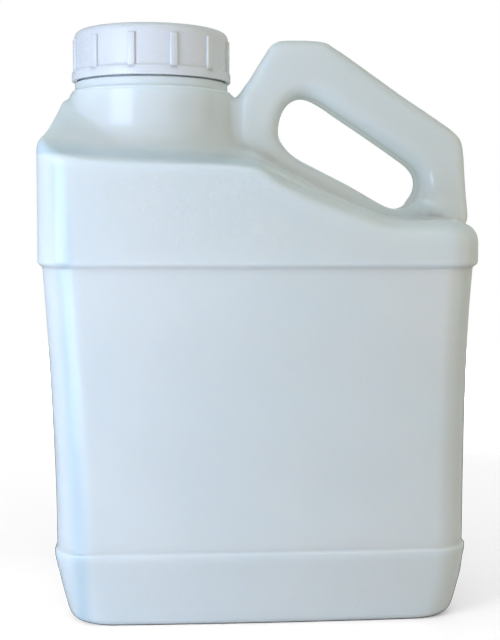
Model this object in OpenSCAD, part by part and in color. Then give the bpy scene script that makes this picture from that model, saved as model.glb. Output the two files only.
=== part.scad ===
// Blow-moulded plastic jug with a hollow slanted handle and a ribbed screw cap.
// The jug stands on z = 0, its front faces -Y, its neck is toward -X and its handle toward +X.

/* [Body] */
// Width over the upper band
body_w = 179.4; // [178:0.2:184]
// Place of the body's middle along the width
body_x = -1.5; // [-2:0.1:-1]
// Depth over the upper band
body_d = 116; // [112:1:122]
// Radius of the upright corners
corner_r = 15; // [13:1:18]
// Outward bow of the front and back faces
face_bow = 1.6; // [0:0.1:2.5]
// Wall of the moulding
wall = 1.6; // [1.2:0.1:2]

/* [Panel] */
// Height of the step at the top of the recessed panel
panel_top_z = 146.7; // [142:0.1:149]
// Height of the ledge at the bottom of the panel
ledge_z = 29.2; // [25:0.1:34]
// Recess of the panel's top below the upper band
panel_recess = 1.8; // [1.4:0.2:3]
// Recess of the panel's bottom below the upper band
panel_foot_recess = 5.1; // [4.1:0.1:6]
// Inward taper of the foot below the ledge, at the sides
foot_taper = 13.4; // [11:0.2:15]
// Shift of the foot toward the handle's end
foot_shift = 1.8; // [0:0.2:2.4]

/* [Shoulder] */
// Height of the shoulder's edge at the neck's end
shoulder_z = 190; // [188:0.5:192]
// Height of the shoulder's edge at the handle's end
low_shoulder_z = 164; // [162:0.5:166]
// Radius of the shoulder's edge along the high front
shoulder_r = 3; // [2:0.5:4]
// Radius of the shoulder's edge below the handle
low_shoulder_r = 7; // [5:0.5:8]
// Radius of the flare at the collar's foot
flare_r = 11; // [9:0.5:12]

/* [Handle] */
// Width of the grip, front to back
handle_w = 28; // [25:1:31]
// Radius of the grip's outer edges
handle_edge_r = 4.5; // [3.5:0.5:6]
// Radius of the roll round the finger gap
handle_roll_r = 6.8; // [5.5:0.1:7.4]
// Width of the web between the collar and the handle, front to back
web_w = 26; // [22:1:28]

/* [Neck] */
// Place of the neck's axis along the width
neck_x = -45.5; // [-48:0.5:-44]
// Outer radius of the neck
neck_r = 30.4; // [28:0.1:32]
// Step of the collar out from the neck
collar_step = 4.2; // [3.4:0.1:5]
// Step of the bead below the cap out from the neck
bead_step = 2.6; // [2:0.1:3]
// Height of the collar's top edge
collar_z = 219.9; // [219:0.1:220.6]
// Height of the neck's sealing lip
lip_z = 242.2; // [241:0.1:243]
// Wall of the neck
neck_wall = 2.2; // [1.8:0.1:2.6]

/* [Cap] */
// Room between the neck and the cap for their threads
thread_room = 1.6; // [1.4:0.1:2]
// Height of the cap's lower rim
cap_rim_z = 224.1; // [223.6:0.1:225]
// Thickness of the cap's top
cap_top_t = 2; // [1.6:0.1:2.4]
// Wall of the cap between its ribs
cap_wall = 1.2; // [1:0.1:1.3]
// Height of the grip ribs and the skirt over the cap's side
cap_rib_h = 1.1; // [0.8:0.1:1.5]
// Number of grip ribs
cap_ribs = 12; // [8:1:18]
// Width of each grip rib
cap_rib_w = 3.2; // [2:0.2:4]
// Turn of the first rib from the front, toward the handle
cap_rib_turn = 16; // [0:1:30]
// Thickness of the sealing liner
liner_t = 1.2; // [1:0.1:1.6]

/* [Hidden] */
$fn = 96;

jug_colour = [0.84, 0.88, 0.91];
cap_colour = [0.97, 0.97, 0.98];
liner_colour = [0.93, 0.93, 0.90];

half_w = body_w / 2;
half_d = body_d / 2;
left_x = body_x - half_w;
right_x = body_x + half_w;
collar_r = neck_r + collar_step;

// Points on each upright corner and along each long side of a ring
CORNER_STEPS = 6;
SIDE_STEPS = 18;

// Sections of the body below the shoulder: height, inset of the sides, inset of the front and back, and shift
foot_side = foot_taper - 3.8;
foot_front = panel_foot_recess + 1.8;
ledge_out = panel_foot_recess - 0.9;
panel_shift = foot_shift * 0.75;
body_sections = [
    [0, foot_taper, foot_front + 2.6, foot_shift],
    [1, foot_taper - 2.2, foot_front + 1, foot_shift],
    [3.2, foot_side, foot_front, foot_shift],
    [ledge_z * 0.35, foot_side - 2, foot_front - 0.6, foot_shift],
    [ledge_z * 0.62, foot_side - 3.8, foot_front - 1.3, foot_shift],
    [ledge_z - 4.2, ledge_out + 0.5, ledge_out + 0.5, panel_shift],
    [ledge_z - 0.6, ledge_out, ledge_out, panel_shift],
    [ledge_z + 0.6, ledge_out, ledge_out, panel_shift],
    [ledge_z + 1.6, panel_foot_recess - 0.2, panel_foot_recess - 0.2, panel_shift],
    [ledge_z + 2.4, panel_foot_recess, panel_foot_recess, panel_shift],
    [panel_top_z - 1.8, panel_recess, panel_recess, 0],
    [panel_top_z - 1, panel_recess * 0.92, panel_recess * 0.92, 0],
    [panel_top_z + 0.6, panel_recess * 0.15, panel_recess * 0.15, 0],
    [panel_top_z + 1.6, 0, 0, 0],
    [panel_top_z + 4.3, 0, 0, 0]
];

// Height between the low and the high end of the shoulder's edge, where 1 is the high end
function slant(share) = low_shoulder_z + share * (shoulder_z - low_shoulder_z);

// Height of the shoulder's edge along the width: high at the neck's end, slanted under the grip, then level
edge_line = [
    [left_x, shoulder_z + 10.5],
    [-89.5, shoulder_z + 8],
    [-85, shoulder_z + 2.2],
    [-80, shoulder_z + 0.3],
    [-76, shoulder_z - 0.8],
    [-57, shoulder_z - 2.3],
    [-14.5, shoulder_z - 3.7],
    [-4.5, shoulder_z - 4.6],
    [5.3, slant(0.615)],
    [13, slant(0.48)],
    [29, slant(0.254)],
    [41, slant(0.119)],
    [51, low_shoulder_z + 0.2],
    [61, low_shoulder_z - 0.3],
    [right_x, low_shoulder_z + 0.5]
];

// Radius of the shoulder's edge and the degrees that it turns through, along the width
edge_radius = [
    [left_x, shoulder_r + 5],
    [-85, shoulder_r + 1],
    [-78, shoulder_r],
    [0, shoulder_r],
    [50, low_shoulder_r],
    [right_x, low_shoulder_r + 1]
];
edge_turn = [[left_x, 30], [-84, 58], [60, 60], [right_x, 75]];
EDGE_RINGS = 4;

// Rings of the sloped top: left end, right end, half depth, corner radius, and the rise over the edge along the width
top_rings = [
    [-88.1, 82.5, 49, 17, [
        [-88.1, 4.8], [-84, 5.1], [-75, 3.7], [-57, 3.3], [-14, 3.1], [-4.5, 3], [5.3, 4],
        [13, 3.5], [29, 2.9], [41, 2.2], [51, 1.8], [61, 1.1], [82.5, 0.9]
    ]],
    [-85.2, 79, 33, 22, [
        [-85.2, 17.8], [-78, 14.2], [-70, 11.2], [-57, 9.5], [-34, 8], [-14, 6.1], [-4.5, 5.6], [5.3, 7],
        [13, 6.5], [29, 5], [41, 3.7], [51, 2.8], [61, 1.7], [79, 1.8]
    ]],
    [-82.3, 76, 15, 13, [
        [-82.3, 25.4], [-72, 19.5], [-60, 15], [-45, 12.7], [-8, 9.3], [0, 10.1], [5.3, 10],
        [13, 9], [29, 6.9], [41, 4.7], [51, 3.4], [61, 1.9], [76, 2.2]
    ]]
];

// Stations of the handle's ring round the finger gap: outer edge x and z, inner edge x and z, and widening.
// The last twelve run through the body, as the sill below the gap.
handle_stations = [
    [-9, 207, 9, 202, 0],
    [-8.3, 217, 9.4, 206.5, 0],
    [-2.6, 226.4, 10.4, 210.3, 0],
    [3.2, 235.8, 12.5, 214, 0],
    [6.5, 240.3, 15, 216.5, 0],
    [10, 241.7, 17.5, 218, 0],
    [19, 242, 20, 218.6, 0],
    [28.5, 241.4, 23, 218.2, 0],
    [33, 239, 27, 216.4, 0],
    [48, 229, 36, 210.6, 0],
    [63, 218.7, 51, 200.8, 0],
    [78, 209, 64.5, 191.6, 0],
    [85.5, 203.8, 68.3, 188.8, 0],
    [89, 200, 70.6, 186, 0],
    [90.3, 194, 71.8, 183.5, 0],
    [90.8, 186, 72, 180.5, 0.5],
    [91.3, 177, 71.2, 177, 1.6],
    [91.5, 166, 69.8, 174.3, 4.5],
    [86, 158, 68.2, 172.4, 2],
    [78, 154.5, 66.5, 171.2, 0],
    [70.6, 152.5, 64.5, 170.4, 0],
    [61, 152, 61.1, 169.9, 0],
    [48.9, 154.8, 56.6, 171, 0],
    [41.9, 158.4, 50.5, 174.2, 0],
    [32.2, 163.9, 40.8, 179.7, 0],
    [17.3, 171.4, 25.9, 187.2, 0],
    [7.1, 177, 17, 191.9, 0],
    [1, 183, 13.3, 194.8, 0],
    [-5, 191, 10.8, 198, 0],
    [-9, 200, 9.3, 200.5, 0]
];

mouth_r = neck_r - neck_wall;
neck_root_z = shoulder_z - 6;
// Widest reach of the collar's flared foot, its slope there in degrees, and the height where its flare ends
neck_root_r = collar_r + 10;
flare_slope = 36;
flare_top_z = shoulder_z + 14.5;
FLARE_STEPS = 6;
collar_edge = 0.8;
bead_r = neck_r + bead_step;
bead_gap = 0.5;
bead_top_z = cap_rim_z - bead_gap;
// Length by which a cut passes the face that it opens
over = 1;

// The web's ends along the width, one inside the collar and one inside the handle, and its edges
web_left = neck_x - 6.5;
web_right = 3;
web_top_z = collar_z - 2.7;
web_corner_r = 6;
web_edge_r = 4;
WEB_ANGLES = [0, 22, 45, 68, 90];

cap_top_z = lip_z + liner_t + cap_top_t;
cap_bore_r = neck_r + thread_room;
cap_body_r = cap_bore_r + cap_wall;
cap_r = cap_body_r + cap_rib_h;
cap_edge_r = 3;
cap_skirt_z = cap_rim_z + 4;
cap_rib_top = cap_top_z - 4.2;
liner_gap = 0.4;
EDGE_STEPS = 6;

// Ring of a rounded rectangle in plan, with its long sides bowed, starting at the right and turning left
function plan_ring(centre_x, hx, hy, r, bow) = [
    for (p = concat(
        corner_arc(hx, hy, r, 0), long_side(hx, hy, r, 1),
        corner_arc(hx, hy, r, 90), corner_arc(hx, hy, r, 180),
        long_side(hx, hy, r, -1), corner_arc(hx, hy, r, 270)))
    [centre_x + p.x, p.y * (1 + bow / hy * max(0, 1 - pow(p.x / hx, 2)))]
];

function corner_arc(hx, hy, r, start) = [
    for (i = [0 : CORNER_STEPS])
    let (a = start + 90 * i / CORNER_STEPS, mid = start + 45)
    [sign(cos(mid)) * (hx - r) + r * cos(a), sign(sin(mid)) * (hy - r) + r * sin(a)]
];

function long_side(hx, hy, r, side) = [
    for (i = [1 : SIDE_STEPS - 1])
    [side * (hx - r) * (1 - 2 * i / SIDE_STEPS), side * hy]
];

// Level section of the body, inset by the wall for the inside
function level_ring(s, t) = [
    for (p = plan_ring(body_x + s[3], half_w - s[1] - t, half_d - s[2] - t, corner_r - t, face_bow))
    [p.x, p.y, max(s[0], t)]
];

// Ring of the shoulder's rounded edge, at one of the steps up from the wall
function edge_ring(step, t) =
    let (wall_plan = plan_ring(body_x, half_w - t, half_d - t, corner_r - t, face_bow),
        top_plan = plan_ring(body_x, half_w - t - shoulder_r, half_d - t - shoulder_r, corner_r - t - shoulder_r / 2,
            face_bow))
    [for (i = [0 : len(wall_plan) - 1])
        let (x = wall_plan[i].x, r = lookup(x, edge_radius), a = lookup(x, edge_turn) * step / EDGE_RINGS,
            p = wall_plan[i] + (top_plan[i] - wall_plan[i]) * r * (1 - cos(a)) / shoulder_r)
        [p.x, p.y, lookup(x, edge_line) - r * (1 - sin(a)) - t]];

// Ring of the sloped top, which rises over the shoulder's edge
function top_ring(s, t) = [
    for (p = plan_ring((s[0] + s[1]) / 2, (s[1] - s[0]) / 2 - t, s[2] - t / 2, s[3], 0))
    [p.x, p.y, lookup(p.x, edge_line) + lookup(p.x, s[4]) - t]
];

// Section of the handle across one station, shrunk by the wall for the inside
function handle_ring(s, t) =
    let (out = [s[0], 0, s[1]], inn = [s[2], 0, s[3]], mid = (out + inn) / 2, arm = (out - inn) / 2)
    let (hu = norm(arm) - t, hv = handle_w / 2 + s[4] - t, edge = handle_edge_r - t, roll = handle_roll_r - t)
    [for (p = concat(
            corner_arc(hu, hv, edge, 0), corner_arc(hu, hv, roll, 90),
            corner_arc(hu, hv, roll, 180), corner_arc(hu, hv, edge, 270)))
        mid + arm * p.x / norm(arm) - [0, p.y, 0]];

// Ring of the web at one height, drawn in by an inset
function web_ring(z, inset) = [
    for (p = plan_ring((web_left + web_right) / 2, (web_right - web_left) / 2 - inset, web_w / 2 - inset, web_corner_r, 0))
    [p.x, p.y, z]
];

// Side of the collar with its flared foot, bottom to top, inset by t: radius and height
function collar_side(t) =
    let (arc = [for (i = [0 : FLARE_STEPS])
            let (a = 270 - flare_slope - (90 - flare_slope) * i / FLARE_STEPS)
            [collar_r + flare_r + (flare_r + t) * cos(a), flare_top_z + (flare_r + t) * sin(a)]])
    concat([[neck_root_r - t, arc[0].y - (neck_root_r - t - arc[0].x) * tan(flare_slope)]], arc);

// Solid through a list of rings with equal numbers of points, closed by flat ends or into a loop
module skin(rings, loop = false) {
    n = len(rings[0]);
    count = len(rings);
    last = (count - 1) * n;
    sides = [for (k = [0 : count - (loop ? 1 : 2)], i = [0 : n - 1])
        let (low = k * n, high = (k + 1) % count * n, j = (i + 1) % n)
        [low + i, high + i, high + j, low + j]];
    bottom = [for (i = [0 : n / 2 - 2]) [i, i + 1, n - 2 - i, n - 1 - i]];
    top = [for (i = [0 : n / 2 - 2]) [n - 1 - i, n - 2 - i, i + 1, i] + last * [1, 1, 1, 1]];
    polyhedron([for (r = rings, p = r) p], loop ? sides : concat(sides, bottom, top));
}

// Body up to the crest of its sloped top, inset by t
module body_skin(t) {
    levels = [for (s = body_sections) level_ring(s, t)];
    edges = [for (step = [0 : EDGE_RINGS]) edge_ring(step, t)];
    tops = [for (s = top_rings) top_ring(s, t)];
    skin(concat(levels, edges, tops));
}

module handle_skin(t) {
    skin([for (s = handle_stations) handle_ring(s, t)], loop = true);
}

// Web between the collar and the handle, inset by t
module web_skin(t) {
    edges = [for (a = WEB_ANGLES)
        web_ring(web_top_z - t - web_edge_r * (1 - sin(a)), t + web_edge_r * (1 - cos(a)))];
    skin(concat([web_ring(neck_root_z, t)], edges));
}

// Flared collar and neck as one turned form, rooted inside the shoulder
module neck_form() {
    translate([neck_x, 0, 0])
        rotate_extrude()
            polygon(concat(
                [[0, neck_root_z], [neck_root_r, neck_root_z]],
                collar_side(0),
                [[collar_r, collar_z - collar_edge], [collar_r - collar_edge, collar_z],
                    [bead_r, collar_z], [bead_r, bead_top_z - collar_edge], [bead_r - collar_edge, bead_top_z],
                    [neck_r, bead_top_z], [neck_r, lip_z], [0, lip_z]]));
}

// Space inside the collar and the mouth, sloped from one to the other
module neck_space() {
    collar_in = collar_r - wall;
    slope_z = collar_z - wall;
    translate([neck_x, 0, 0])
        rotate_extrude()
            polygon(concat(
                [[0, neck_root_z - over], [neck_root_r - wall, neck_root_z - over]],
                collar_side(wall),
                [[collar_in, slope_z - (collar_in - mouth_r)], [mouth_r, slope_z],
                    [mouth_r, lip_z + over], [0, lip_z + over]]));
}

module jug_body() {
    color(jug_colour)
        difference() {
            union() {
                body_skin(0);
                handle_skin(0);
                web_skin(0);
                neck_form();
            }
            body_skin(wall);
            handle_skin(wall);
            web_skin(wall);
            neck_space();
        }
}

// Turned shell of the cap: plain skirt, recessed side and rounded top edge
module cap_shell() {
    top_edge = [for (i = [0 : EDGE_STEPS])
        let (a = 90 * i / EDGE_STEPS)
        [cap_body_r - cap_edge_r * (1 - cos(a)), cap_top_z - cap_edge_r * (1 - sin(a))]];
    rotate_extrude()
        polygon(concat(
            [[cap_bore_r, cap_rim_z], [cap_r - 0.5, cap_rim_z], [cap_r, cap_rim_z + 0.5],
                [cap_r, cap_skirt_z - 0.6], [cap_body_r, cap_skirt_z + 0.4]],
            top_edge,
            [[0, cap_top_z], [0, cap_top_z - cap_top_t], [cap_bore_r, cap_top_z - cap_top_t]]));
}

// One grip rib at the front, rooted in the cap's side and in its skirt
module cap_rib() {
    rib_face = norm([cap_r, cap_rib_w / 2]) - cap_r;
    rib_out = cap_r - rib_face;
    rib_in = cap_body_r - cap_wall / 2;
    rib_foot = cap_skirt_z - over;
    translate([-cap_rib_w / 2, -rib_out, rib_foot])
        cube([cap_rib_w, rib_out - rib_in, cap_rib_top - rib_foot]);
}

module screw_cap() {
    color(cap_colour)
        translate([neck_x, 0, 0]) {
            cap_shell();
            for (i = [0 : cap_ribs - 1])
                rotate([0, 0, cap_rib_turn + 360 * i / cap_ribs])
                    cap_rib();
        }
}

module cap_liner() {
    color(liner_colour)
        translate([neck_x, 0, lip_z])
            cylinder(r = cap_bore_r - liner_gap, h = liner_t);
}

jug_body();
screw_cap();
cap_liner();
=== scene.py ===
"""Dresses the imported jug: its moulded body with the hollow handle, its ribbed screw cap and its liner."""

import logging
import math
from collections.abc import Callable, Iterable, Sequence
from dataclasses import dataclass
from enum import Enum

import bmesh
import bpy
import numpy as np
from mathutils import Matrix, Vector

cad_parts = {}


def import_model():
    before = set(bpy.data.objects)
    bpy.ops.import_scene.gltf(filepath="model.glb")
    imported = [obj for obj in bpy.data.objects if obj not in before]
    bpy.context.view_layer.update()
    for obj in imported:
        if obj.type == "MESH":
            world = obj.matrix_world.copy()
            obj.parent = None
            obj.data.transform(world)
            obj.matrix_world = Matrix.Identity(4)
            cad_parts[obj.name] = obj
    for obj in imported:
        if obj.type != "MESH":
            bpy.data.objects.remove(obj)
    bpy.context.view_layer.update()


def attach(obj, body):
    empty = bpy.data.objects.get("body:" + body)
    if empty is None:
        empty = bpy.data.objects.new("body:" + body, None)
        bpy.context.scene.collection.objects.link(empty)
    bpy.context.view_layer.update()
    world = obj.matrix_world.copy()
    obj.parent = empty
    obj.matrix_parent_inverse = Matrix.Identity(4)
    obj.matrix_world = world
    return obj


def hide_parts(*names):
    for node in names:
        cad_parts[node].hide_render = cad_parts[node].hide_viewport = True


LOG = logging.getLogger("jug")
MM = 0.001
THREAD_STEPS = 72

Colour = tuple[float, float, float, float]
Pair = tuple[float, float]
Term = "Wire | float"


class ThreadSide(Enum):
    """Which way a thread's ridge points from the wall that carries it."""

    OUTWARD = 1
    INWARD = -1


# ---------------------------------------------------------------- curves and mesh helpers


def steady_curve(at: np.ndarray, keys: np.ndarray, where: np.ndarray) -> np.ndarray:
    """Read a smooth curve that passes its keys without overshooting them.

    Args:
        at: Rising places of the keys.
        keys: One key per place along the first axis, of any shape.
        where: Places to read.

    Returns:
        The curve's values, one per place along the first axis.
    """
    wide = (-1,) + (1,) * (keys.ndim - 1)
    gap = np.diff(at).reshape(wide)
    slope = np.diff(keys, axis=0) / gap
    before, after = slope[:-1], slope[1:]
    near, far = 2 * gap[1:] + gap[:-1], gap[1:] + 2 * gap[:-1]
    same_way = before * after > 0
    safe_before, safe_after = np.where(same_way, before, 1), np.where(same_way, after, 1)
    tangent = np.empty_like(keys, dtype=float)
    tangent[0], tangent[-1] = slope[0], slope[-1]
    tangent[1:-1] = np.where(same_way, (near + far) / (near / safe_before + far / safe_after), 0)
    k = np.clip(np.searchsorted(at, where, side="right") - 1, 0, len(at) - 2)
    u = ((where - at[k]) / np.diff(at)[k]).reshape(wide)
    run = gap[k]
    return (
        keys[k] * (1 + 2 * u) * (1 - u) ** 2
        + keys[k + 1] * u**2 * (3 - 2 * u)
        + run * u * (1 - u) * (tangent[k] * (1 - u) - tangent[k + 1] * u)
    )


def read_along(rows: Sequence[Sequence[float]], x: np.ndarray) -> np.ndarray:
    """Read smooth values at places along the width from rows of a place and its values, level beyond the ends."""
    table = np.array(rows, dtype=float)
    return steady_curve(table[:, 0], table[:, 1:], np.clip(x, table[0, 0], table[-1, 0]))


def fine_steps(places: Sequence[float], steps: Sequence[int]) -> np.ndarray:
    """Divide each gap between neighbouring places into its own number of steps."""
    runs = [np.linspace(a, b, n, endpoint=False) for a, b, n in zip(places, places[1:], steps)]
    return np.concatenate([*runs, places[-1:]])


def loft(bm: bmesh.types.BMesh, rings: np.ndarray, close_start: bool = True, close_end: bool = True) -> None:
    """Extrude one ring of vertices through a row of rings.

    Args:
        bm: Mesh that takes the loft.
        rings: Points of each ring, as rings by points by axes.
        close_start: Keeps the face on the first ring.
        close_end: Keeps the face on the last ring.
    """
    place = bm.verts.layers.int.get("place") or bm.verts.layers.int.new("place")
    start = bmesh.ops.create_circle(bm, cap_ends=True, segments=rings.shape[1], radius=1)["verts"]
    for i, vert in enumerate(start):
        vert[place] = i
        vert.co = rings[0, i]
    face = start[0].link_faces[0]
    first = face
    for ring in rings[1:]:
        grown = bmesh.ops.extrude_face_region(bm, geom=[face, *face.edges])["geom"]
        face = next(part for part in grown if isinstance(part, bmesh.types.BMFace))
        for vert in face.verts:
            vert.co = ring[vert[place]]
    ends = [end for end, keep in ((first, close_start), (face, close_end)) if not keep]
    if ends:
        bmesh.ops.delete(bm, geom=ends, context="FACES_ONLY")


def turn(bm: bmesh.types.BMesh, profile: Sequence[Pair], axis_x: float, steps: int) -> list[bmesh.types.BMVert]:
    """Spin a profile of radius and height round an upright axis.

    Args:
        bm: Mesh that takes the turned form.
        profile: Radius and height of each point.
        axis_x: Place of the axis along the width.
        steps: Steps of the full turn.

    Returns:
        The new vertices.
    """
    known = set(bm.verts)
    points = [bm.verts.new((axis_x + r, 0, z)) for r, z in profile]
    edges = [bm.edges.new(pair) for pair in zip(points, points[1:])]
    bmesh.ops.spin(
        bm, geom=points + edges, cent=(axis_x, 0, 0), axis=(0, 0, 1), angle=math.tau, steps=steps, use_merge=True
    )
    made = [vert for vert in bm.verts if vert not in known]
    bmesh.ops.remove_doubles(bm, verts=made, dist=1e-4)
    return [vert for vert in bm.verts if vert not in known]


def arc(centre: Pair, radius: float, start: float, end: float, steps: int) -> list[Pair]:
    """List the points of an arc of a profile, with its angles in degrees."""
    angles = np.radians(np.linspace(start, end, steps + 1))
    return [(centre[0] + radius * math.cos(a), centre[1] + radius * math.sin(a)) for a in angles]


def new_object(name: str, bm: bmesh.types.BMesh) -> bpy.types.Object:
    """Make an object at the origin from a mesh in millimetres, and free the mesh."""
    bmesh.ops.scale(bm, vec=(MM, MM, MM), verts=bm.verts)
    mesh = bpy.data.meshes.new(name)
    bm.to_mesh(mesh)
    bm.free()
    mesh.shade_smooth()
    made = bpy.data.objects.new(name, mesh)
    bpy.context.scene.collection.objects.link(made)
    return made


def voxel_skin(bm: bmesh.types.BMesh, voxel: float) -> bmesh.types.BMesh:
    """Melt overlapping closed forms into one even skin.

    Args:
        bm: Mesh of closed forms, which is freed.
        voxel: Size of the skin's faces.

    Returns:
        The new mesh.
    """
    mesh = bpy.data.meshes.new("melt")
    bmesh.ops.recalc_face_normals(bm, faces=bm.faces)
    bm.to_mesh(mesh)
    bm.free()
    melt = bpy.data.objects.new("melt", mesh)
    bpy.context.scene.collection.objects.link(melt)
    remesh = melt.modifiers.new("skin", "REMESH")
    remesh.mode, remesh.voxel_size = "VOXEL", voxel
    depsgraph = bpy.context.evaluated_depsgraph_get()
    skin = bpy.data.meshes.new_from_object(melt.evaluated_get(depsgraph))
    out = bmesh.new()
    out.from_mesh(skin)
    bpy.data.objects.remove(melt)
    bpy.data.meshes.remove(mesh)
    bpy.data.meshes.remove(skin)
    return out


def fill_creases(bm: bmesh.types.BMesh, rounds: int, share: Callable[[np.ndarray], np.ndarray]) -> None:
    """Fill the hollow creases of a skin outward and leave its round edges, as molten plastic does.

    Args:
        bm: Mesh of the skin.
        rounds: Number of passes.
        share: Gives how far each point may move, from 0 to 1.
    """
    bm.verts.index_update()
    ends = np.array([[v.index for v in edge.verts] for edge in bm.edges])
    place = np.array([v.co for v in bm.verts])
    count = np.bincount(ends.ravel(), minlength=len(place))[:, None]
    free = share(place)[:, None]
    for number in range(rounds):
        if number % 6 == 0:
            for vert, co in zip(bm.verts, place):
                vert.co = co
            bm.normal_update()
            normal = np.array([v.normal for v in bm.verts])
        total = np.zeros_like(place)
        np.add.at(total, ends[:, 0], place[ends[:, 1]])
        np.add.at(total, ends[:, 1], place[ends[:, 0]])
        rise = np.sum((total / count - place) * normal, axis=1, keepdims=True)
        place = place + normal * np.maximum(rise, 0) * free
    for vert, co in zip(bm.verts, place):
        vert.co = co


def relax(bm: bmesh.types.BMesh, verts: list[bmesh.types.BMVert], rounds: int) -> None:
    """Smooth some vertices of a skin a few times."""
    for _ in range(rounds):
        bmesh.ops.smooth_vert(bm, verts=verts, factor=0.5, use_axis_x=True, use_axis_y=True, use_axis_z=True)


def cut_level(
    bm: bmesh.types.BMesh, z: float, keep_above: bool, inside: Callable[[Vector], bool]
) -> list[bmesh.types.BMEdge]:
    """Cut part of a skin at a level and open it there.

    Args:
        bm: Mesh of the skin.
        z: Level of the cut.
        keep_above: Keeps what lies above the level, and otherwise what lies below.
        inside: Says which faces the cut may reach, by their middles.

    Returns:
        The edges of the opening.
    """
    faces = [face for face in bm.faces if inside(face.calc_center_median())]
    parts = set(faces)
    for face in faces:
        parts.update(face.edges)
        parts.update(face.verts)
    bmesh.ops.bisect_plane(
        bm,
        geom=list(parts),
        dist=1e-4,
        plane_co=(0, 0, z),
        plane_no=(0, 0, 1),
        clear_inner=keep_above,
        clear_outer=not keep_above,
    )
    return open_edges(bm, z)


def open_edges(bm: bmesh.types.BMesh, z: float) -> list[bmesh.types.BMEdge]:
    """List the open edges of a mesh at a level."""
    return [e for e in bm.edges if e.is_boundary and all(abs(v.co.z - z) < 1e-3 for v in e.verts)]


def join(bm: bmesh.types.BMesh, other: bmesh.types.BMesh) -> None:
    """Add another mesh to a mesh, and free the other one."""
    mesh = bpy.data.meshes.new("joint")
    other.to_mesh(mesh)
    other.free()
    bm.from_mesh(mesh)
    bpy.data.meshes.remove(mesh)


def thread_ridge(
    bm: bmesh.types.BMesh,
    axis_x: float,
    wall_r: float,
    start_z: float,
    side: ThreadSide,
    height: float,
    pitch: float,
    turns: float,
    start_angle: float,
) -> None:
    """Spin a right-handed thread's ridge that runs out at both ends.

    Args:
        bm: Mesh that takes the ridge.
        axis_x: Place of the thread's axis along the width.
        wall_r: Radius of the wall that carries it.
        start_z: Height of its lower end's middle.
        side: Which way it points.
        height: Height of the ridge over the wall.
        pitch: Rise for each turn.
        turns: Number of turns.
        start_angle: Angle of its lower end, in degrees.
    """
    sunk, foot, crest = 0.3, 1.15, 0.4
    steps = round(turns * THREAD_STEPS)
    known = set(bm.verts)
    way = side.value
    outline = [(-sunk, -foot), (height, -crest), (height, crest), (-sunk, foot)]
    turn_in = Matrix.Translation((axis_x, 0, 0)) @ Matrix.Rotation(math.radians(start_angle), 4, "Z")
    verts = [bm.verts.new(turn_in @ Vector((wall_r + way * out, 0, start_z + up))) for out, up in outline]
    face = bm.faces.new(verts if way > 0 else verts[::-1])
    bmesh.ops.spin(
        bm,
        geom=[face],
        cent=(axis_x, 0, 0),
        axis=(0, 0, 1),
        dvec=(0, 0, pitch * turns / steps),
        angle=math.tau * turns,
        steps=steps,
    )
    made = [vert for vert in bm.verts if vert not in known]
    rise = pitch * turns
    for vert in made:
        arm = Vector((vert.co.x - axis_x, vert.co.y))
        out = (arm.length - wall_r) * way
        if out > 0:
            along = (vert.co.z - start_z) / rise
            room = min(along, 1 - along) * turns * 6
            arm *= (wall_r + way * (out * min(1.0, max(0.0, room)) - 0.05)) / arm.length
            vert.co.x, vert.co.y = axis_x + arm.x, arm.y
    bmesh.ops.recalc_face_normals(bm, faces=list({face for vert in made for face in vert.link_faces}))


# ---------------------------------------------------------------- shader expressions


class Wire:
    """A shader socket whose operators add Math nodes to its tree."""

    def __init__(self, graph: "Graph", socket: bpy.types.NodeSocket) -> None:
        """Keep the tree and the socket."""
        self.graph, self.socket = graph, socket

    def math(self, operation: str, first: Term, second: Term = 0.0) -> "Wire":
        """Add one Math node."""
        return self.graph.node("ShaderNodeMath", {"operation": operation}, {0: first, 1: second})

    def __add__(self, other: Term) -> "Wire":
        """Add a value."""
        return self.math("ADD", self, other)

    __radd__ = __add__

    def __sub__(self, other: Term) -> "Wire":
        """Take a value away."""
        return self.math("SUBTRACT", self, other)

    def __rsub__(self, other: Term) -> "Wire":
        """Take this away from a value."""
        return self.math("SUBTRACT", other, self)

    def __mul__(self, other: Term) -> "Wire":
        """Multiply by a value."""
        return self.math("MULTIPLY", self, other)

    __rmul__ = __mul__

    def __abs__(self) -> "Wire":
        """Drop the sign."""
        return self.math("ABSOLUTE", self)

    def between(self, low: float, high: float) -> "Wire":
        """Rise smoothly from 0 at one value to 1 at another."""
        settings = {"interpolation_type": "SMOOTHSTEP"}
        return self.graph.node("ShaderNodeMapRange", settings, {0: self, 1: low, 2: high})


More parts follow.
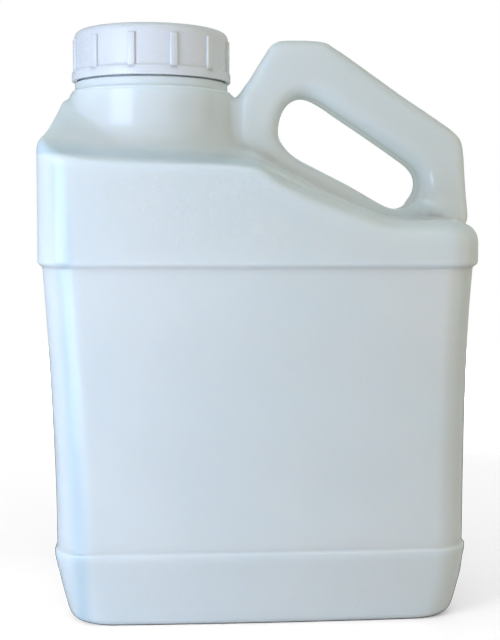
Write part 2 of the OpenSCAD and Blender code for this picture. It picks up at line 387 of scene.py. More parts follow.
class Graph:
    """The node tree of one material, on the object's own coordinates."""

    def __init__(self, name: str) -> None:
        """Start an empty material."""
        self.material = bpy.data.materials.new(name)
        self.material.use_nodes = True
        self.tree = self.material.node_tree
        self.tree.nodes.clear()
        self.place = self.node("ShaderNodeTexCoord", {}, {}, "Object")

    def node(self, kind: str, settings: dict, inputs: dict, output: int | str = 0) -> Wire:
        """Add a node.

        Args:
            kind: The node's type.
            settings: Its own settings, set first; "stops" sets a ramp's places and colours.
            inputs: Values or wires for its sockets, by name or number.
            output: The socket to hand back.

        Returns:
            A wire on that socket.
        """
        made = self.tree.nodes.new(kind)
        for key, value in settings.items():
            if key == "stops":
                self._set_stops(made.color_ramp, value)
            else:
                setattr(made, key, value)
        for key, value in inputs.items():
            if isinstance(value, Wire):
                self.tree.links.new(value.socket, made.inputs[key])
            else:
                made.inputs[key].default_value = value
        return Wire(self, made.outputs[output])

    @staticmethod
    def _set_stops(ramp: bpy.types.ColorRamp, stops: Sequence[tuple[float, Colour]]) -> None:
        """Place a ramp's stops."""
        while len(ramp.elements) < len(stops):
            ramp.elements.new(0.5)
        for element, (place, colour) in zip(ramp.elements, stops):
            element.position, element.color = place, colour

    def noise(self, scale: float, detail: float = 2.0, roughness: float = 0.5) -> Wire:
        """Add noise with so many waves in each metre."""
        inputs = {"Vector": self.place, "Scale": scale, "Detail": detail, "Roughness": roughness}
        return self.node("ShaderNodeTexNoise", {}, inputs)

    def axis(self, name: str) -> Wire:
        """Read one axis of the object's coordinates, in metres."""
        return self.node("ShaderNodeSeparateXYZ", {}, {0: self.place}, name)

    def mix(self, share: Term, first: "Wire | Colour", second: "Wire | Colour") -> Wire:
        """Mix two colours."""
        return self.node("ShaderNodeMix", {"data_type": "RGBA"}, {0: share, 6: first, 7: second}, 2)

    def bump(self, height: Wire, distance: float, strength: float = 1.0) -> Wire:
        """Turn a height into a normal."""
        return self.node("ShaderNodeBump", {}, {"Height": height, "Distance": distance, "Strength": strength})

    def finish(self, inputs: dict) -> bpy.types.Material:
        """Close the tree with a Principled shader and hand back the material."""
        shader = self.node("ShaderNodeBsdfPrincipled", {}, inputs)
        output = self.tree.nodes.new("ShaderNodeOutputMaterial")
        self.tree.links.new(shader.socket, output.inputs["Surface"])
        return self.material


# ---------------------------------------------------------------- finishes


@dataclass(frozen=True)
class MilkyPolyethylene:
    """Unpigmented blow-moulded polyethylene: milky, satin, with a fine orange peel and a mould seam."""

    name: str = "natural_polyethylene"
    thick: Colour = (0.82, 0.88, 0.89, 1)
    thin: Colour = (0.78, 0.85, 0.87, 1)
    seam: Colour = (0.86, 0.90, 0.90, 1)
    roughness: float = 0.21
    scatter: tuple[float, float, float] = (0.9, 1.0, 1.1)
    scatter_scale: float = 0.003
    seam_half: float = 0.00045
    # Painted shade, in metres: a darker bluish colour along the upright corners at the neck's end and in a band over
    # the shoulder's edge, standing in for where these surfaces catch less light
    painted_shade: Colour = (0.63, 0.74, 0.79, 1)
    corner_x: float = -0.0737
    corner_lean: float = 0.04
    corner_half: float = 0.0055
    corner_depth: float = 0.042
    ridge_depths: Pair = (0.03, 0.045)
    ridge_ends: Pair = (-0.02, 0.02)
    ridge_z: float = 0.1848
    ridge_fall: float = 0.053
    ridge_band: Pair = (0.002, 0.010)
    # Where the mould's blasted face shows, in metres: its front, its foot, its head and its ends along the width
    grained_front: float = -0.052
    grained_heights: Pair = (0.149, 0.188)
    grained_ends: Pair = (-0.085, 0.045)

    def make(self) -> bpy.types.Material:
        """Build the material."""
        graph = Graph(self.name)
        cloud = graph.noise(14, 2)
        colour = graph.mix(cloud.between(0.35, 0.65), self.thin, self.thick)
        # Painted shade: darker bluish along the upright corners at the neck's end and in a band over the shoulder's
        # edge
        colour = graph.mix(self._painted_shade_mask(graph), colour, self.painted_shade)
        seam = 1 - abs(graph.axis("Y")).between(self.seam_half * 0.3, self.seam_half)
        colour = graph.mix(seam * 0.5, colour, self.seam)
        peel = graph.noise(700, 2, 0.55)
        waves = graph.noise(60, 1)
        scuff = graph.noise(1800, 1)
        grain = graph.noise(380, 3, 0.6).between(0.35, 0.65) * self._grained(graph)
        height = peel * 0.00005 + waves * 0.0002 + seam * 0.00016 + grain * 0.00013
        rough = scuff * 0.10 + (self.roughness - 0.05) + seam * 0.08
        return graph.finish(
            {
                "Base Color": colour,
                "Roughness": rough,
                "Normal": graph.bump(height, 1.0),
                "IOR": 1.5,
                "Subsurface Weight": 1.0,
                "Subsurface Radius": self.scatter,
                "Subsurface Scale": self.scatter_scale,
            }
        )

    def _painted_shade_mask(self, graph: Graph) -> Wire:
        """Mark where shade is painted: along the corners at the neck's end and in a band over the shoulder's edge,
        which catch less light.
        """
        across, deep, up = graph.axis("X"), abs(graph.axis("Y")), graph.axis("Z")
        beside = abs(across - self.corner_x + up * self.corner_lean)
        corner = (1 - beside.between(0, self.corner_half)) * deep.between(self.corner_depth, self.corner_depth + 0.006)
        below = 1 - up.between(self.ridge_z, self.ridge_z + 0.004)
        over = up + across * self.ridge_fall
        first, last = self.ridge_band
        ridge = over.between(self.ridge_z, self.ridge_z + first)
        ridge = ridge * (1 - over.between(self.ridge_z + first, self.ridge_z + last))
        front = deep.between(*self.ridge_depths) * (1 - across.between(*self.ridge_ends))
        return corner * below + ridge * front

    def _grained(self, graph: Graph) -> Wire:
        """Mark the front of the upper band, where the mould's face was blasted."""
        low, high = self.grained_heights
        left, right = self.grained_ends
        across, up = graph.axis("X"), graph.axis("Z")
        front = 1 - graph.axis("Y").between(self.grained_front, self.grained_front + 0.003)
        level = up.between(low, low + 0.006) * (1 - up.between(high - 0.008, high))
        return front * level * across.between(left, left + 0.04) * (1 - across.between(right - 0.04, right))


@dataclass(frozen=True)
class SatinWhite:
    """Injection-moulded white polypropylene with a satin face."""

    name: str = "white_cap"
    face: Colour = (0.82, 0.83, 0.86, 1)
    shade: Colour = (0.79, 0.80, 0.83, 1)
    roughness: float = 0.27

    def make(self) -> bpy.types.Material:
        """Build the material."""
        graph = Graph(self.name)
        colour = graph.mix(graph.noise(45, 3).between(0.4, 0.7), self.face, self.shade)
        grain = graph.noise(2600, 2)
        rough = grain * 0.12 + (self.roughness - 0.06)
        return graph.finish(
            {
                "Base Color": colour,
                "Roughness": rough,
                "Normal": graph.bump(grain, 0.00003),
                "IOR": 1.49,
                "Subsurface Weight": 0.4,
                "Subsurface Radius": (1.0, 1.0, 1.0),
                "Subsurface Scale": 0.0012,
            }
        )


@dataclass(frozen=True)
class ClosedFoam:
    """Fine closed-cell foam sheet of the cap's liner."""

    name: str = "foam_liner"
    skin: Colour = (0.88, 0.87, 0.82, 1)
    cell: Colour = (0.76, 0.75, 0.69, 1)

    def make(self) -> bpy.types.Material:
        """Build the material."""
        graph = Graph(self.name)
        inputs = {"Vector": graph.place, "Scale": 1900.0}
        cells = graph.node("ShaderNodeTexVoronoi", {"feature": "F1"}, inputs)
        pit = cells.between(0.1, 0.6)
        return graph.finish(
            {
                "Base Color": graph.mix(pit, self.cell, self.skin),
                "Roughness": 0.9 - pit * 0.15,
                "Normal": graph.bump(pit, 0.00012),
            }
        )


@dataclass(frozen=True)
class PaleFloor:
    """Plain pale studio floor."""

    name: str = "studio_floor"
    light: Colour = (0.62, 0.62, 0.61, 1)
    dark: Colour = (0.58, 0.58, 0.57, 1)
    fade: Pair = (0.3, 1.0)

    def make(self) -> bpy.types.Material:
        """Build the material, which fades out away from the jug."""
        graph = Graph(self.name)
        colour = graph.mix(graph.noise(8, 3).between(0.3, 0.7), self.light, self.dark)
        reach = graph.node("ShaderNodeVectorMath", {"operation": "LENGTH"}, {0: graph.place}, "Value")
        return graph.finish({"Base Color": colour, "Roughness": 0.7, "Alpha": 1 - reach.between(*self.fade)})


# ---------------------------------------------------------------- the jug's body


@dataclass
class JugBody:
    """The hollow moulding: foot, panel, shoulder, slanted handle, collar and neck, in millimetres."""

    width: float = 179.4
    centre_x: float = -1.5
    depth: float = 116.0
    corner: float = 15.0
    bow: float = 1.6
    wall: float = 1.6
    corner_steps: int = 30
    long_steps: int = 84
    short_steps: int = 30
    # Height, inset of the sides, inset of the front and back, and shift; with the steps up to the next one
    sections: tuple[tuple[float, float, float, float], ...] = (
        (0, 13.4, 9.5, 1.8),
        (1, 11.2, 7.9, 1.8),
        (3.2, 9.6, 6.9, 1.8),
        (10.2, 7.6, 6.3, 1.8),
        (18.1, 5.8, 5.6, 1.8),
        (25, 4.7, 4.7, 1.35),
        (28.6, 4.2, 4.2, 1.35),
        (29.8, 4.2, 4.2, 1.35),
        (30.8, 4.9, 4.9, 1.35),
        (31.6, 5.1, 5.1, 1.35),
        (144.9, 1.8, 1.8, 0),
        (145.7, 1.66, 1.66, 0),
        (147.3, 0.27, 0.27, 0),
        (148.3, 0, 0, 0),
        (151, 0, 0, 0),
    )
    section_steps: tuple[int, ...] = (3, 3, 3, 3, 3, 3, 3, 4, 3, 8, 3, 4, 3, 2)
    # Recess of the base: inset beyond the foot's lowest ring, and height
    base_rings: tuple[Pair, ...] = ((40, 2.0), (16, 1.9), (11, 1.2), (8.5, 0.3), (7, 0))
    seam_low: float = 151.0
    seam_z: float = 153.0
    # The shoulder's edge along the width: place, height, radius and the degrees that it turns through
    edge_rows: tuple[tuple[float, float, float, float], ...] = (
        (-91.2, 200.5, 8, 30),
        (-89.5, 198, 6.5, 37),
        (-85, 192.2, 4, 54),
        (-80, 190.3, 2.6, 58),
        (-76, 189.2, 2, 58),
        (-57, 187.7, 1.8, 58),
        (-14.5, 186.3, 1.8, 59),
        (-4.5, 185.4, 2.2, 59),
        (5.3, 180, 3.4, 59),
        (13, 176.5, 4, 59),
        (29, 170.6, 5.3, 60),
        (41, 167.1, 6.3, 60),
        (51, 164.2, 7, 60),
        (61, 163.7, 7.3, 60),
        (88.2, 164.5, 8, 75),
    )
    edge_steps: int = 5
    edge_inset: float = 3.0
    # Rings of the sloped top: left end, right end, half depth, corner radius, and rises over the edge along the width
    top_rings: tuple[tuple[float, float, float, float, tuple[Pair, ...]], ...] = (
        (-88.1, 82.5, 49, 17, (
            (-88.1, 4.8), (-84, 5.1), (-75, 3.7), (-57, 3.3), (-14, 3.1), (-4.5, 3), (5.3, 4),
            (13, 3.5), (29, 2.9), (41, 2.2), (51, 1.8), (61, 1.1), (82.5, 0.9),
        )),
        (-85.2, 79, 33, 22, (
            (-85.2, 17.8), (-78, 14.2), (-70, 11.2), (-57, 9.5), (-34, 8), (-14, 6.1), (-4.5, 5.6), (5.3, 7),
            (13, 6.5), (29, 5), (41, 3.7), (51, 2.8), (61, 1.7), (79, 1.8),
        )),
        (-82.3, 76, 15, 13, (
            (-82.3, 25.4), (-72, 19.5), (-60, 15), (-45, 12.7), (-8, 9.3), (0, 10.1), (5.3, 10),
            (13, 9), (29, 6.9), (41, 4.7), (51, 3.4), (61, 1.9), (76, 2.2),
        )),
    )
    # The web between the collar and the handle's first leg
    web_ends: Pair = (-52, 3)
    web_half: float = 13.0
    web_corner: float = 6.0
    web_top: float = 217.2
    web_edge: float = 4.0
    # Stations of the handle's ring round the finger gap: outer edge x and z, inner edge x and z, and widening
    stations: tuple[tuple[float, float, float, float, float], ...] = (
        (-9, 207, 9, 202, 0),
        (-8.3, 217, 9.4, 206.5, 0),
        (-2.6, 226.4, 10.4, 210.3, 0),
        (3.2, 235.8, 12.5, 214, 0),
        (6.5, 240.3, 15, 216.5, 0),
        (10, 241.7, 17.5, 218, 0),
        (19, 242, 20, 218.6, 0),
        (28.5, 241.4, 23, 218.2, 0),
        (33, 239, 27, 216.4, 0),
        (48, 229, 36, 210.6, 0),
        (63, 218.7, 51, 200.8, 0),
        (78, 209, 64.5, 191.6, 0),
        (85.5, 203.8, 68.3, 188.8, 0),
        (89, 200, 70.6, 186, 0),
        (90.3, 194, 71.8, 183.5, 0),
        (90.8, 186, 72, 180.5, 0.5),
        (91.3, 177, 71.2, 177, 1.6),
        (91.5, 166, 69.8, 174.3, 4.5),
        (86, 158, 68.2, 172.4, 2),
        (78, 154.5, 66.5, 171.2, 0),
        (70.6, 152.5, 64.5, 170.4, 0),
        (61, 152, 61.1, 169.9, 0),
        (48.9, 154.8, 56.6, 171, 0),
        (41.9, 158.4, 50.5, 174.2, 0),
        (32.2, 163.9, 40.8, 179.7, 0),
        (17.3, 171.4, 25.9, 187.2, 0),
        (7.1, 177, 17, 191.9, 0),
        (1, 183, 13.3, 194.8, 0),
        (-5, 191, 10.8, 198, 0),
        (-9, 200, 9.3, 200.5, 0),
        (-9, 207, 9, 202, 0),
    )
    station_steps: int = 6
    grip_depth: float = 28.0
    grip_outer_r: float = 4.5
    grip_inner_r: float = 6.8
    grip_crown: float = 0.7
    neck_x: float = -45.5
    collar_r: float = 34.6
    tower_foot: float = 184.0
    tower_r: float = 44.6
    flare_r: float = 11.0
    flare_z: float = 204.5
    flare_slope: float = 36.0
    tower_top: float = 225.6
    collar_cut: float = 218.6
    collar_z: float = 219.9
    bead_r: float = 33.0
    bead_top: float = 223.6
    neck_r: float = 30.4
    neck_wall: float = 2.2
    lip_z: float = 242.2
    inner_cut: float = 215.1
    neck_steps: int = 144
    skin_voxel: float = 1.05
    inner_voxel: float = 3.0
    crease_rounds: int = 12
    thread_height: float = 0.95
    thread_pitch: float = 4.2
    thread_z: float = 229.2

    def build(self) -> bpy.types.Object:
        """Build the whole moulding.

        Returns:
            The jug's object.
        """
        bm = self._upper_skin()
        join(bm, self._lower_skin())
        bmesh.ops.bridge_loops(bm, edges=open_edges(bm, self.seam_low) + open_edges(bm, self.seam_z))
        join(bm, self._inner_skin())
        join(bm, self._neck_finish())
        bmesh.ops.bridge_loops(bm, edges=open_edges(bm, self.collar_cut))
        bmesh.ops.bridge_loops(bm, edges=open_edges(bm, self.inner_cut))
        thread_ridge(
            bm,
            self.neck_x,
            self.neck_r,
            self.thread_z,
            ThreadSide.OUTWARD,
            self.thread_height,
            self.thread_pitch,
            2.0,
            200,
        )
        return new_object("jug_moulding", bm)

    def dress(self, jug: bpy.types.Object, finish: MilkyPolyethylene) -> None:
        """Give the moulding its plastic and seat it on its body."""
        jug.data.materials.append(finish.make())
        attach(jug, "jug")
        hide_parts("jug_body")

    def _plan(self, middle: float, half_x: float, half_y: float, radius: float, bow: float) -> np.ndarray:
        """Lay out a rounded rectangle in plan, with its long sides bowed.

        Args:
            middle: Its middle along the width.
            half_x: Half its width.
            half_y: Half its depth.
            radius: Radius of its corners.
            bow: Outward bow of its long sides.

        Returns:
            The points, as points by two axes.
        """
        radius = min(radius, half_x - 0.1, half_y - 0.1)
        flat_x, flat_y = half_x - radius, half_y - radius
        parts = []
        corners = ((1, 1), (-1, 1), (-1, -1), (1, -1))
        for quarter, (side_x, side_y) in enumerate(corners):
            angle = np.pi / 2 * (quarter + np.linspace(0, 1, self.corner_steps, endpoint=False))
            middle_xy = np.array((side_x * flat_x, side_y * flat_y))
            parts.append(middle_xy + radius * np.stack((np.cos(angle), np.sin(angle)), axis=1))
            turn_xy = np.array((math.cos(math.pi / 2 * (quarter + 1)), math.sin(math.pi / 2 * (quarter + 1))))
            next_x, next_y = corners[(quarter + 1) % 4]
            start = middle_xy + radius * turn_xy
            end = np.array((next_x * flat_x, next_y * flat_y)) + radius * turn_xy
            steps = self.long_steps if quarter % 2 == 0 else self.short_steps
            share = np.linspace(0, 1, steps, endpoint=False)[:, None]
            parts.append(start * (1 - share) + end * share)
        points = np.concatenate(parts)
        swell = np.maximum(0, 1 - (points[:, 0] / half_x) ** 2)
        points[:, 1] *= 1 + bow / half_y * swell
        return points + np.array((middle, 0))

    def _level(self, z: float, inset_x: float, inset_y: float, shift: float, wall: float) -> np.ndarray:
        """Lay out one level ring of the body, inset by the wall for its inside."""
        half_x = self.width / 2 - inset_x - wall
        half_y = self.depth / 2 - inset_y - wall
        plan = self._plan(self.centre_x + shift, half_x, half_y, self.corner - wall, self.bow)
        return np.column_stack((plan, np.full(len(plan), max(z, wall))))

    def _levels(self, wall: float) -> np.ndarray:
        """Lay out the level rings from the base to the upper band."""
        table = np.array(self.sections)
        heights = fine_steps(table[:, 0], self.section_steps)
        insets = steady_curve(table[:, 0], table[:, 1:], heights)
        return np.array([self._level(z, *row, wall) for z, row in zip(heights, insets)])

    def _edge(self, share: float, wall: float) -> np.ndarray:
        """Lay out one ring of the shoulder's rounded edge.

        Args:
            share: How far the edge has turned, from 0 at the wall to 1 at the sloped top.
            wall: Inset of the ring, for the inside.

        Returns:
            The points, as points by axes.
        """
        inset = self.edge_inset
        half_x, half_y, radius = self.width / 2 - wall, self.depth / 2 - wall, self.corner - wall
        outer = self._plan(self.centre_x, half_x, half_y, radius, self.bow)
        inner = self._plan(self.centre_x, half_x - inset, half_y - inset, radius - inset / 2, self.bow)
        height, bend, turned = read_along(self.edge_rows, outer[:, 0]).T
        angle = np.radians(turned * share)
        plan = outer + (inner - outer) * (bend * (1 - np.cos(angle)) / inset)[:, None]
        return np.column_stack((plan, height - bend * (1 - np.sin(angle)) - wall))

    def _over_edge(self, plan: np.ndarray, rises: Sequence[Pair], wall: float) -> np.ndarray:
        """Hang a plan ring above the shoulder's edge."""
        height = read_along(self.edge_rows, plan[:, 0])[:, 0] + read_along(rises, plan[:, 0])[:, 0]
        return np.column_stack((plan, height - wall))

    def _shoulder(self, wall: float) -> np.ndarray:
        """Lay out the rings from the upper band over the shoulder's edge to the crest.

        Args:
            wall: Inset of the rings, for the inside.

        Returns:
            The rings, as rings by points by axes.
        """
        keys = [self._level(z, 0, 0, 0, wall) for z in (self.seam_low - 6, self.seam_low, self.seam_z)]
        keys += [self._edge(step / self.edge_steps, wall) for step in range(self.edge_steps + 1)]
        for left, right, half, radius, rises in self.top_rings:
            plan = self._plan((left + right) / 2, (right - left) / 2 - wall, half - wall / 2, radius, 0)
            keys.append(self._over_edge(plan, rises, wall))
        left, right, half, _, rises = self.top_rings[-1]
        plan = self._plan((left + right) / 2, (right - left) / 2 - half, 0.8, 0.8, 0)
        keys.append(self._over_edge(plan, rises, wall))
        rings = np.array(keys)
        step = np.linalg.norm(np.diff(rings, axis=0), axis=2).mean(axis=1)
        at = np.concatenate(([0], np.cumsum(step)))
        return steady_curve(at, rings, fine_steps(at, [max(1, round(gap / 2)) for gap in step]))

    def _handle(self, wall: float) -> np.ndarray:
        """Lay out the handle's sections, root to root, inset by the wall for its inside."""
        table = np.array(self.stations)
        middles = (table[:, :2] + table[:, 2:4]) / 2
        gap = np.linalg.norm(np.diff(middles, axis=0), axis=1)
        at = np.concatenate(([0], np.cumsum(gap)))
        rows = steady_curve(at, table, fine_steps(at, [self.station_steps] * len(gap)))
        return np.array([self._grip_section(row, wall) for row in rows])

    def _grip_section(self, row: np.ndarray, wall: float) -> np.ndarray:
        """Lay out one section of the handle, tighter at its outer edges than round the finger gap.

        Args:
            row: Outer edge x and z, inner edge x and z, and widening.
            wall: Inset of the section.

        Returns:
            The points, as points by axes.
        """
        outer, inner = row[:2], row[2:4]
        middle, arm = (outer + inner) / 2, (outer - inner) / 2
        length = np.linalg.norm(arm)
        half_u, half_v = length - wall, self.grip_depth / 2 + row[4] - wall
        points = []
        for quarter, (side_u, side_v) in enumerate(((1, 1), (-1, 1), (-1, -1), (1, -1))):
            radius = (self.grip_outer_r if side_u > 0 else self.grip_inner_r) - wall
            centre = (side_u * (half_u - radius), side_v * (half_v - radius))
            points += arc(centre, radius, 90 * quarter, 90 * quarter + 90, 8)
        flat = np.array(points)
        flat[:, 1] += np.sign(flat[:, 1]) * self.grip_crown * np.maximum(0, 1 - (flat[:, 0] / half_u) ** 2)
        along = middle + np.outer(flat[:, 0] / length, arm)
        return np.column_stack((along[:, 0], -flat[:, 1], along[:, 1]))

    def _web(self, wall: float) -> np.ndarray:
        """Lay out the rounded block that joins the collar to the handle's first leg."""
        left, right = self.web_ends
        rows = [(self.tower_foot, 0.0), (self.web_top - self.web_edge - wall, 0.0)]
        for angle in np.radians((22, 45, 68, 90)):
            inset = self.web_edge * (1 - math.cos(angle))
            rows.append((self.web_top - wall - self.web_edge * (1 - math.sin(angle)), inset))
        rings = []
        for z, inset in rows:
            inset += wall
            half_x, half_y = (right - left) / 2 - inset, self.web_half - inset
            plan = self._plan((left + right) / 2, half_x, half_y, self.web_corner, 0)
            rings.append(np.column_stack((plan, np.full(len(plan), z))))
        return np.array(rings)

    def _tower(self, wall: float) -> list[Pair]:
        """List the turned profile of the collar with its flared foot, inset by the wall for its inside."""
        radius = self.collar_r - wall
        flare = arc((self.collar_r + self.flare_r, self.flare_z), self.flare_r + wall, 270 - self.flare_slope, 180, 8)
        fall = math.tan(math.radians(self.flare_slope))
        rim_z = flare[0][1] - (self.tower_r - flare[0][0]) * fall
        foot = self.tower_foot - wall
        return [(0, foot), (self.tower_r - wall, foot), (self.tower_r - wall, rim_z), *flare, (radius, self.tower_top)]

    def _melted(self, forms: Iterable[np.ndarray], wall: float, voxel: float) -> bmesh.types.BMesh:
        """Melt lofts and the collar's tower into one skin."""
        bm = bmesh.new()
        for rings in forms:
            loft(bm, rings)
        turn(bm, [*self._tower(wall), (0, self.tower_top)], self.neck_x, self.neck_steps)
        return voxel_skin(bm, voxel)

    def _by_collar(self, point: Vector) -> bool:
        """Say whether a point belongs to the collar and not to the handle."""
        reach = math.hypot(point.x - self.neck_x, point.y)
        return reach < self.collar_r + 1 and point.z > self.inner_cut - 6

    def _upper_skin(self) -> bmesh.types.BMesh:
        """Melt the shoulder, handle and collar together, soften their creases and open them at both cuts."""
        bm = self._melted((self._shoulder(0), self._handle(0), self._web(0)), 0, self.skin_voxel)
        low, high = self.seam_z + 3, self.seam_z + 8
        fill_creases(bm, self.crease_rounds, lambda at: np.clip((at[:, 2] - low) / (high - low), 0, 1))
        relax(bm, [v for v in bm.verts if v.co.z > low], 3)
        cut_level(bm, self.seam_z, True, lambda point: True)
        cut_level(bm, self.collar_cut, False, self._by_collar)
        return bm

    def _lower_skin(self) -> bmesh.types.BMesh:
        """Loft the base, foot, ledge, panel and step, open at the seam with the upper skin."""
        foot_x, foot_y, shift = self.sections[0][1:]
        base = [self._level(z, foot_x + inset, foot_y + inset, shift, 0) for inset, z in self.base_rings]
        rings = np.concatenate((np.array(base), self._levels(0)))
        bm = bmesh.new()
        loft(bm, rings, close_end=False)
        bmesh.ops.recalc_face_normals(bm, faces=bm.faces)
        return bm

    def _inner_skin(self) -> bmesh.types.BMesh:
        """Melt the inside of the body, handle and collar, facing inward and open at the neck."""
        inside = np.concatenate((self._levels(self.wall)[2::3], self._shoulder(self.wall)[2:]))
        forms = (inside, self._handle(self.wall), self._web(self.wall))
        bm = self._melted(forms, self.wall, self.inner_voxel)
        cut_level(bm, self.inner_cut, False, self._by_collar)
        bmesh.ops.reverse_faces(bm, faces=bm.faces)
        return bm

    def _neck_finish(self) -> bmesh.types.BMesh:
        """Turn the collar's edge, the neck, its lip and the mouth, open where they meet the skins."""
        mouth = self.neck_r - self.neck_wall
        inner = self.collar_r - self.wall
        profile = [(self.collar_r, self.collar_cut)]
        profile += arc((self.collar_r - 0.9, self.collar_z - 0.9), 0.9, 0, 90, 4)
        profile += arc((self.bead_r + 0.6, self.collar_z + 0.6), 0.6, 270, 180, 3)
        profile += arc((self.bead_r - 0.8, self.bead_top - 0.8), 0.8, 0, 90, 4)
        profile += arc((self.neck_r + 0.5, self.bead_top + 0.5), 0.5, 270, 180, 3)
        profile += [(self.neck_r, z) for z in (226, 232, 238)]
        profile += arc((self.neck_r - 0.7, self.lip_z - 0.7), 0.7, 0, 90, 4)
        profile += arc((mouth + 0.7, self.lip_z - 0.7), 0.7, 90, 180, 4)
        profile += [(mouth, z) for z in (238, 232, 226)]
        profile += [(mouth, self.collar_z - 1.4), (inner - 0.6, self.inner_cut + 1.2), (inner, self.inner_cut)]
        bm = bmesh.new()
        turn(bm, profile, self.neck_x, self.neck_steps)
        bmesh.ops.recalc_face_normals(bm, faces=bm.faces)
        return bm


# ---------------------------------------------------------------- the cap and its liner


@dataclass
class ScrewCap:
    """The ribbed screw cap, in millimetres."""

    axis_x: float = -45.5
    outer_r: float = 34.3
    side_r: float = 33.2
    bore_r: float = 32.0
    rim_z: float = 224.1
    skirt_z: float = 228.1
    rib_top: float = 241.2
    top_z: float = 245.4
    top_wall: float = 2.0
    edge_r: float = 3.0
    ribs: int = 12
    rib_width: float = 3.2
    rib_turn: float = 16.0
    rib_edge: float = 0.45
    steps: int = 192
    thread_height: float = 0.95
    thread_pitch: float = 4.2
    thread_z: float = 231.3

    def build(self) -> bpy.types.Object:
        """Build the cap with its ribs and thread.

        Returns:
            The cap's object.
        """
        bm = bmesh.new()
        turn(bm, self._profile(), self.axis_x, self.steps)
        bmesh.ops.recalc_face_normals(bm, faces=bm.faces)
        for number in range(self.ribs):
            self._add_rib(bm, self.rib_turn + 360 * number / self.ribs)
        thread_ridge(
            bm,
            self.axis_x,
            self.bore_r,
            self.thread_z,
            ThreadSide.INWARD,
            self.thread_height,
            self.thread_pitch,
            2.0,
            200,
        )
        return new_object("ribbed_cap", bm)

    def dress(self, cap: bpy.types.Object, finish: SatinWhite) -> None:
        """Give the cap its plastic and seat it on its body."""
        cap.data.materials.append(finish.make())
        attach(cap, "cap")
        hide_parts("screw_cap")

    def _profile(self) -> list[Pair]:
        """List the section of the turned shell, from the middle of its top to the middle of its ceiling."""
        ceiling = self.top_z - self.top_wall
        profile = [(0, self.top_z - 0.35), (26.5, self.top_z - 0.35), (27.3, self.top_z)]
        profile += arc((self.side_r - self.edge_r, self.top_z - self.edge_r), self.edge_r, 90, 0, 8)
        profile += [(self.side_r, z) for z in (240, 235, 230.2)]
        profile += arc((self.side_r + 0.8, self.skirt_z + 0.8), 0.8, 180, 255, 3)
        profile += arc((self.outer_r - 0.6, self.skirt_z - 0.7), 0.6, 75, 0, 3)
        profile += arc((self.outer_r - 0.5, self.rim_z + 0.5), 0.5, 0, -90, 3)
        profile += arc((self.bore_r + 0.4, self.rim_z + 0.4), 0.4, 270, 180, 3)
        profile += [(self.bore_r, 234)]
        profile += arc((self.bore_r - 0.5, ceiling - 0.5), 0.5, 0, 90, 3)
        return [*profile, (0, ceiling)]

    def _add_rib(self, bm: bmesh.types.BMesh, angle: float) -> None:
        """Add one rounded grip rib, sunk into the cap's side and skirt."""
        foot = self.skirt_z - 1.6
        depth = self.outer_r - self.bore_r - 0.4
        size = (depth, self.rib_width, self.rib_top - foot)
        place = Matrix.Translation((self.axis_x, 0, 0)) @ Matrix.Rotation(math.radians(angle - 90), 4, "Z")
        middle = Matrix.Translation((self.outer_r - 0.06 - depth / 2, 0, (self.rib_top + foot) / 2))
        verts = bmesh.ops.create_cube(bm, size=1, matrix=place @ middle @ Matrix.Diagonal((*size, 1)))["verts"]
        bmesh.ops.bevel(
            bm,
            geom=list({edge for vert in verts for edge in vert.link_edges}),
            offset=self.rib_edge,
            segments=3,
            profile=0.5,
            affect="EDGES",
            material=-1,
        )


@dataclass
class SealLiner:
    """The foam disc between the cap and the neck's lip, in millimetres."""

    axis_x: float = -45.5
    radius: float = 31.6
    low: float = 242.2
    thick: float = 1.2
    edge_r: float = 0.35
    steps: int = 144

    def build(self) -> bpy.types.Object:
        """Build the disc, with its cut edge rounded and a shallow ring pressed in by the cap's ceiling.

        Returns:
            The liner's object.
        """
        high, edge = self.low + self.thick, self.edge_r
        profile = [(0, self.low), (self.radius - 5, self.low)]
        profile += arc((self.radius - edge, self.low + edge), edge, -90, 0, 3)
        profile += arc((self.radius - edge, high - edge), edge, 0, 90, 3)
        profile += [(28.6, high), (28.2, high - 0.15), (26.8, high - 0.15), (26.4, high), (0, high)]
        bm = bmesh.new()
        turn(bm, profile, self.axis_x, self.steps)
        bmesh.ops.recalc_face_normals(bm, faces=bm.faces)
        return new_object("foam_disc", bm)

    def dress(self, disc: bpy.types.Object, finish: ClosedFoam) -> None:
        """Give the disc its foam and seat it on its body."""
        disc.data.materials.append(finish.make())
        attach(disc, "liner")
        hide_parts("cap_liner")


# ---------------------------------------------------------------- the studio


@dataclass(frozen=True)
class SoftBox:
    """One soft area light, in metres and watts."""

    name: str
    place: tuple[float, float, float]
    aim: tuple[float, float, float]
    size: Pair
    power: float
    colour: tuple[float, float, float]
    mirrored: bool = True

    def build(self) -> None:
        """Add the light to the scene."""
        data = bpy.data.lights.new(self.name, "AREA")
        data.shape, data.size, data.size_y = "RECTANGLE", *self.size
        data.energy, data.color = self.power, self.colour
        lamp = bpy.data.objects.new(self.name, data)
        bpy.context.scene.collection.objects.link(lamp)
        lamp.visible_camera, lamp.visible_glossy = False, self.mirrored
        lamp.location = self.place
        lamp.rotation_euler = (Vector(self.aim) - Vector(self.place)).to_track_quat("-Z", "Y").to_euler()


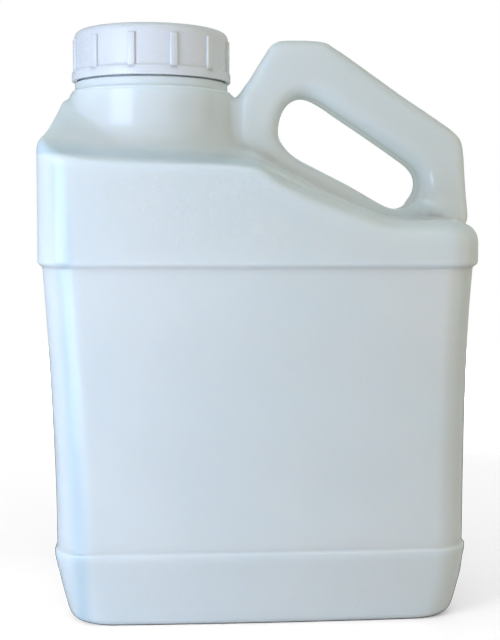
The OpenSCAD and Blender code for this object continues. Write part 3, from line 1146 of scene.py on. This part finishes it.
@dataclass
class Studio:
    """Camera, floor, light and backdrop."""

    lens: float = 67.5
    sensor: float = 36.0
    camera_place: tuple[float, float, float] = (-0.0432, -0.5301, 0.1627)
    yaw: float = 4.41
    pitch: float = 4.51
    roll: float = 0.13
    floor_half: float = 1.1
    # The room's light, low in front and high behind, and the way from one to the other
    room_near: Colour = (0.28, 0.25, 0.10, 1)
    room_far: Colour = (0.47, 0.53, 0.52, 1)
    room_way: tuple[float, float, float] = (0.2, 0.55, 0.8)
    lights: tuple[SoftBox, ...] = (
        SoftBox("window", (-0.30, -0.30, 0.13), (-0.03, 0, 0.10), (0.22, 0.40), 1.5, (0.57, 0.68, 1.0)),
        SoftBox("low_window", (-0.50, -0.50, 0.10), (0, 0, 0.12), (0.30, 0.30), 0.36, (0.83, 1.0, 0.83)),
        SoftBox("front_fill", (0.30, -1.60, 0.20), (0, 0, 0.12), (1.40, 0.90), 1.2, (0.56, 0.86, 0.86)),
        SoftBox("right_fill", (0.75, -0.30, 0.25), (0, 0, 0.12), (0.40, 0.70), 0.6, (1.0, 0.84, 0.84)),
        SoftBox("top_front", (0.20, -0.80, 1.20), (0, 0, 0.12), (0.90, 0.60), 1.2, (0.78, 0.80, 1.0)),
        SoftBox("back_high", (0.10, 1.10, 0.90), (0, 0, 0.12), (0.80, 0.50), 0.44, (0.74, 0.95, 1.0)),
        SoftBox("back_fill", (0.20, 1.40, 0.16), (0, 0, 0.12), (1.00, 0.30), 2.5, (1.0, 1.0, 1.0), mirrored=False),
        SoftBox("low_right", (0.40, -0.60, 0.03), (0.05, 0, 0.06), (0.40, 0.06), 0.2, (1.0, 0.4, 0.2)),
    )

    def build(self) -> None:
        """Build the stage."""
        self._add_camera()
        self._add_floor()
        self._set_world()
        for light in self.lights:
            light.build()
        bpy.context.scene.view_settings.view_transform = "Standard"

    def _add_camera(self) -> None:
        """Stand the camera where the photograph was taken from."""
        data = bpy.data.cameras.new("camera")
        data.sensor_fit, data.sensor_height, data.lens = "VERTICAL", self.sensor, self.lens
        data.clip_start, data.clip_end = 0.01, 50
        camera = bpy.data.objects.new("camera", data)
        bpy.context.scene.collection.objects.link(camera)
        camera.matrix_world = (
            Matrix.Translation(self.camera_place)
            @ Matrix.Rotation(math.radians(-self.yaw), 4, "Z")
            @ Matrix.Rotation(math.radians(90 - self.pitch), 4, "X")
            @ Matrix.Rotation(math.radians(self.roll), 4, "Z")
        )
        bpy.context.scene.camera = camera

    def _add_floor(self) -> None:
        """Lay the floor that the jug stands on."""
        bm = bmesh.new()
        bmesh.ops.create_grid(bm, x_segments=4, y_segments=4, size=self.floor_half / MM)
        floor = new_object("floor", bm)
        floor.data.materials.append(PaleFloor().make())
        floor.is_shadow_catcher = True

    def _set_world(self) -> None:
        """Set a white backdrop that lights the jug more softly than it shows."""
        world = bpy.data.worlds.new("studio")
        world.use_nodes = True
        bpy.context.scene.world = world
        tree = world.node_tree
        tree.nodes.clear()
        soft, white = tree.nodes.new("ShaderNodeBackground"), tree.nodes.new("ShaderNodeBackground")
        white.inputs["Color"].default_value = (1, 1, 1, 1)
        way = tree.nodes.new("ShaderNodeTexCoord")
        turned = tree.nodes.new("ShaderNodeVectorMath")
        turned.operation = "DOT_PRODUCT"
        turned.inputs[1].default_value = Vector(self.room_way).normalized()
        share = tree.nodes.new("ShaderNodeMapRange")
        share.inputs["From Min"].default_value = -1
        tint = tree.nodes.new("ShaderNodeMix")
        tint.data_type = "RGBA"
        tint.inputs[6].default_value, tint.inputs[7].default_value = self.room_near, self.room_far
        path = tree.nodes.new("ShaderNodeLightPath")
        mix, output = tree.nodes.new("ShaderNodeMixShader"), tree.nodes.new("ShaderNodeOutputWorld")
        for source, target in (
            (way.outputs["Generated"], turned.inputs[0]),
            (turned.outputs["Value"], share.inputs["Value"]),
            (share.outputs["Result"], tint.inputs[0]),
            (tint.outputs[2], soft.inputs["Color"]),
            (path.outputs["Is Camera Ray"], mix.inputs["Fac"]),
            (soft.outputs["Background"], mix.inputs[1]),
            (white.outputs["Background"], mix.inputs[2]),
            (mix.outputs["Shader"], output.inputs["Surface"]),
        ):
            tree.links.new(source, target)


# ---------------------------------------------------------------- the scene


def corners(box: tuple) -> list[list[float]]:
    """Write a box's two corners as plain lists."""
    return [list(map(float, corner)) for corner in box]


def main() -> None:
    """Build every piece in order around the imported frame."""
    logging.basicConfig(level=logging.INFO, format="%(name)s: %(message)s")
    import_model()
    for assembly, finish in (
        (JugBody(), MilkyPolyethylene()),
        (ScrewCap(), SatinWhite()),
        (SealLiner(), ClosedFoam()),
    ):
        piece = assembly.build()
        assembly.dress(piece, finish)
        LOG.info("%s: %d faces", piece.name, len(piece.data.polygons))
    Studio().build()


if __name__ == "__main__":
    main()
